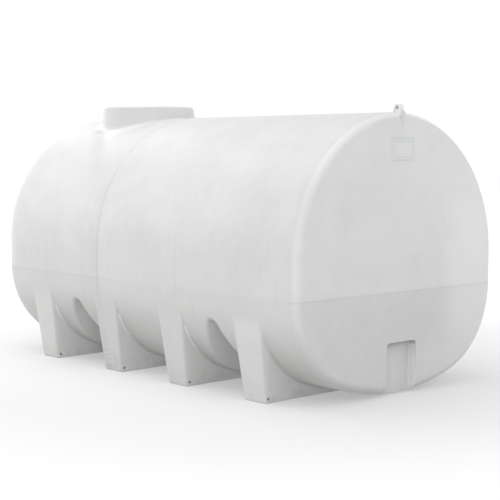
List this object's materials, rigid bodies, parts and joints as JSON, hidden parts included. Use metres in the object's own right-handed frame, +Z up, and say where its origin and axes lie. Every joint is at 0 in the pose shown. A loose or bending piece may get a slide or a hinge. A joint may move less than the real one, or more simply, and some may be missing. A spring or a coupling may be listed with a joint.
{
  "type": "horizontal fertilizer storage tank",
  "caption": "Horizontal moulded tank for liquid fertilizer, lying on hollow saddle legs, with a raised manway, lifting lugs and an outlet pocket.",
  "frame": {"origin": "on the ground under the middle of the tank's overall length and width", "axes": "+X towards the end with the outlet pocket, +Y towards the far flank, +Z up"},
  "size_m": [3.659, 2.006, 2.04],
  "materials": {
    "shell": "satin moulded polyethylene",
    "legs": "satin moulded polyethylene, slightly dirty",
    "lid": "black moulded screw lid"
  },
  "bodies": {
    "root": {"front_end_upper": "shell", "front_end_lower": "shell", "rear_end_upper": "shell", "rear_end_lower": "shell", "front_crown": "shell", "front_side_near": "shell", "front_side_far": "shell", "rear_crown": "shell", "rear_side_near": "shell", "rear_side_far": "shell", "haunch_near_1": "shell", "haunch_near_2": "shell", "haunch_near_3": "shell", "haunch_near_4": "shell", "haunch_near_5": "shell", "haunch_far_1": "shell", "haunch_far_2": "shell", "haunch_far_3": "shell", "haunch_far_4": "shell", "haunch_far_5": "shell", "belly_1": "shell", "belly_2": "shell", "belly_3": "shell", "belly_4": "shell", "belly_5": "shell", "saddle_leg_1": "legs", "saddle_leg_2": "legs", "saddle_leg_3": "legs", "saddle_leg_4": "legs", "surge_wall_1": "shell", "surge_wall_2": "shell", "surge_apex_rear": "shell", "surge_wall_3": "shell", "surge_wall_4": "shell", "surge_apex_front": "shell", "outlet_pocket": "shell", "manway_neck": "shell", "manway_deck": "shell", "manway_collar": "shell", "manway_lid": "lid", "lifting_lug_front": "shell", "lifting_lug_rear": "shell", "label_frame": "shell", "parting_seam": "shell", "main_seam": "shell"}
  },
  "joints": []
}
